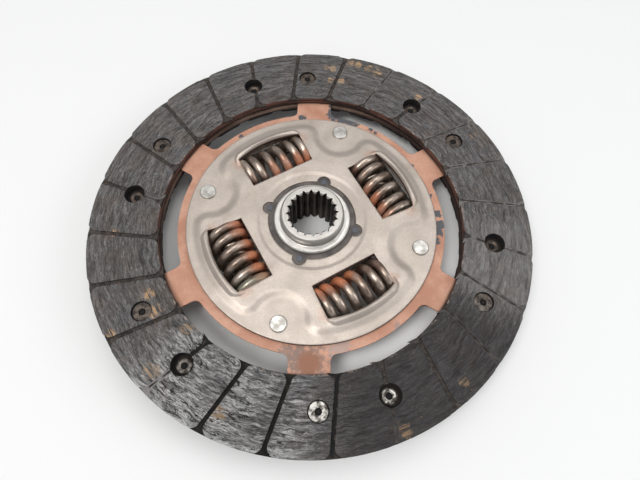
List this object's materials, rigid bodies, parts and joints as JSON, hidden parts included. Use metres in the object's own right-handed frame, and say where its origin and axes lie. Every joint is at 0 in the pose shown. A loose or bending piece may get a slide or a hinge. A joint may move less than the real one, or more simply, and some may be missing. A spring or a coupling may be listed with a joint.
{
  "type": "clutch disc",
  "caption": "Automotive clutch disc with a splined hub on a sprung damper, pressed side plates and grooved riveted friction linings, worn and rusty",
  "frame": {"origin": "The middle of the bounding box at its lowest point: on the disc's axis, at the rear end of the hub.", "axes": "+Z is the disc's axis and points out of the front, the side with the higher hub boss. X and Y lie in the disc's plane; the spring windows are at 30, 120, 210 and 300 degrees from +X towards +Y."},
  "size_m": [0.19, 0.19, 0.023],
  "materials": {
    "lining": "woven yarn and resin friction face, dull",
    "lining_rear": "woven yarn and resin friction face, dull",
    "cushion": "thin spring steel with a reddish film and flaked dark patches",
    "side_plate": "pressed steel, satin, light wear",
    "side_plate_rear": "pressed steel, satin, light wear",
    "hub_steel": "machined steel, dark in the spline grooves",
    "spring_steel_1": "dark spring steel, brown film",
    "spring_steel_2": "dark spring steel, brown film",
    "spring_steel_3": "dark spring steel, brown film",
    "spring_steel_4": "dark spring steel, brown film",
    "inner_steel_1": "dark spring steel",
    "inner_steel_2": "dark spring steel",
    "bush": "dark moulded bush",
    "friction_washer": "friction material",
    "bush_rear": "dark moulded bush",
    "friction_washer_rear": "friction material",
    "thrust_steel": "plain steel sheet",
    "cone_steel": "spring steel, dark",
    "pin_steel": "riveted steel ends, worn bright",
    "rivet_steel": "plated steel, dull and crusted",
    "rivet_steel_rear": "plated steel, dull and crusted"
  },
  "bodies": {
    "disc": {"front_lining": "lining", "rear_lining": "lining_rear", "cushion_plate": "cushion", "front_side_plate": "side_plate", "rear_side_plate": "side_plate_rear", "damper_spring_1": "spring_steel_1", "damper_spring_2": "spring_steel_2", "damper_spring_3": "spring_steel_3", "damper_spring_4": "spring_steel_4", "inner_spring_1": "inner_steel_1", "inner_spring_2": "inner_steel_2", "front_bush": "bush", "front_friction_washer": "friction_washer", "rear_bush": "bush_rear", "rear_friction_washer": "friction_washer_rear", "thrust_plate": "thrust_steel", "cone_spring": "cone_steel", "stop_pins": "pin_steel", "front_lining_rivets": "rivet_steel", "rear_lining_rivets": "rivet_steel_rear"},
    "hub": {"hub": "hub_steel"}
  },
  "joints": [
    {"name": "damper_twist", "type": "hinge", "parent": "disc", "child": "hub", "pos_m": [0, 0, 0.0108], "axis": [0, 0, 1], "range_deg": [-9, 9], "stiffness_Nm_per_rad": 40, "deforming": ["damper_spring_1", "damper_spring_2", "damper_spring_3", "damper_spring_4", "inner_spring_1", "inner_spring_2"]}
  ]
}
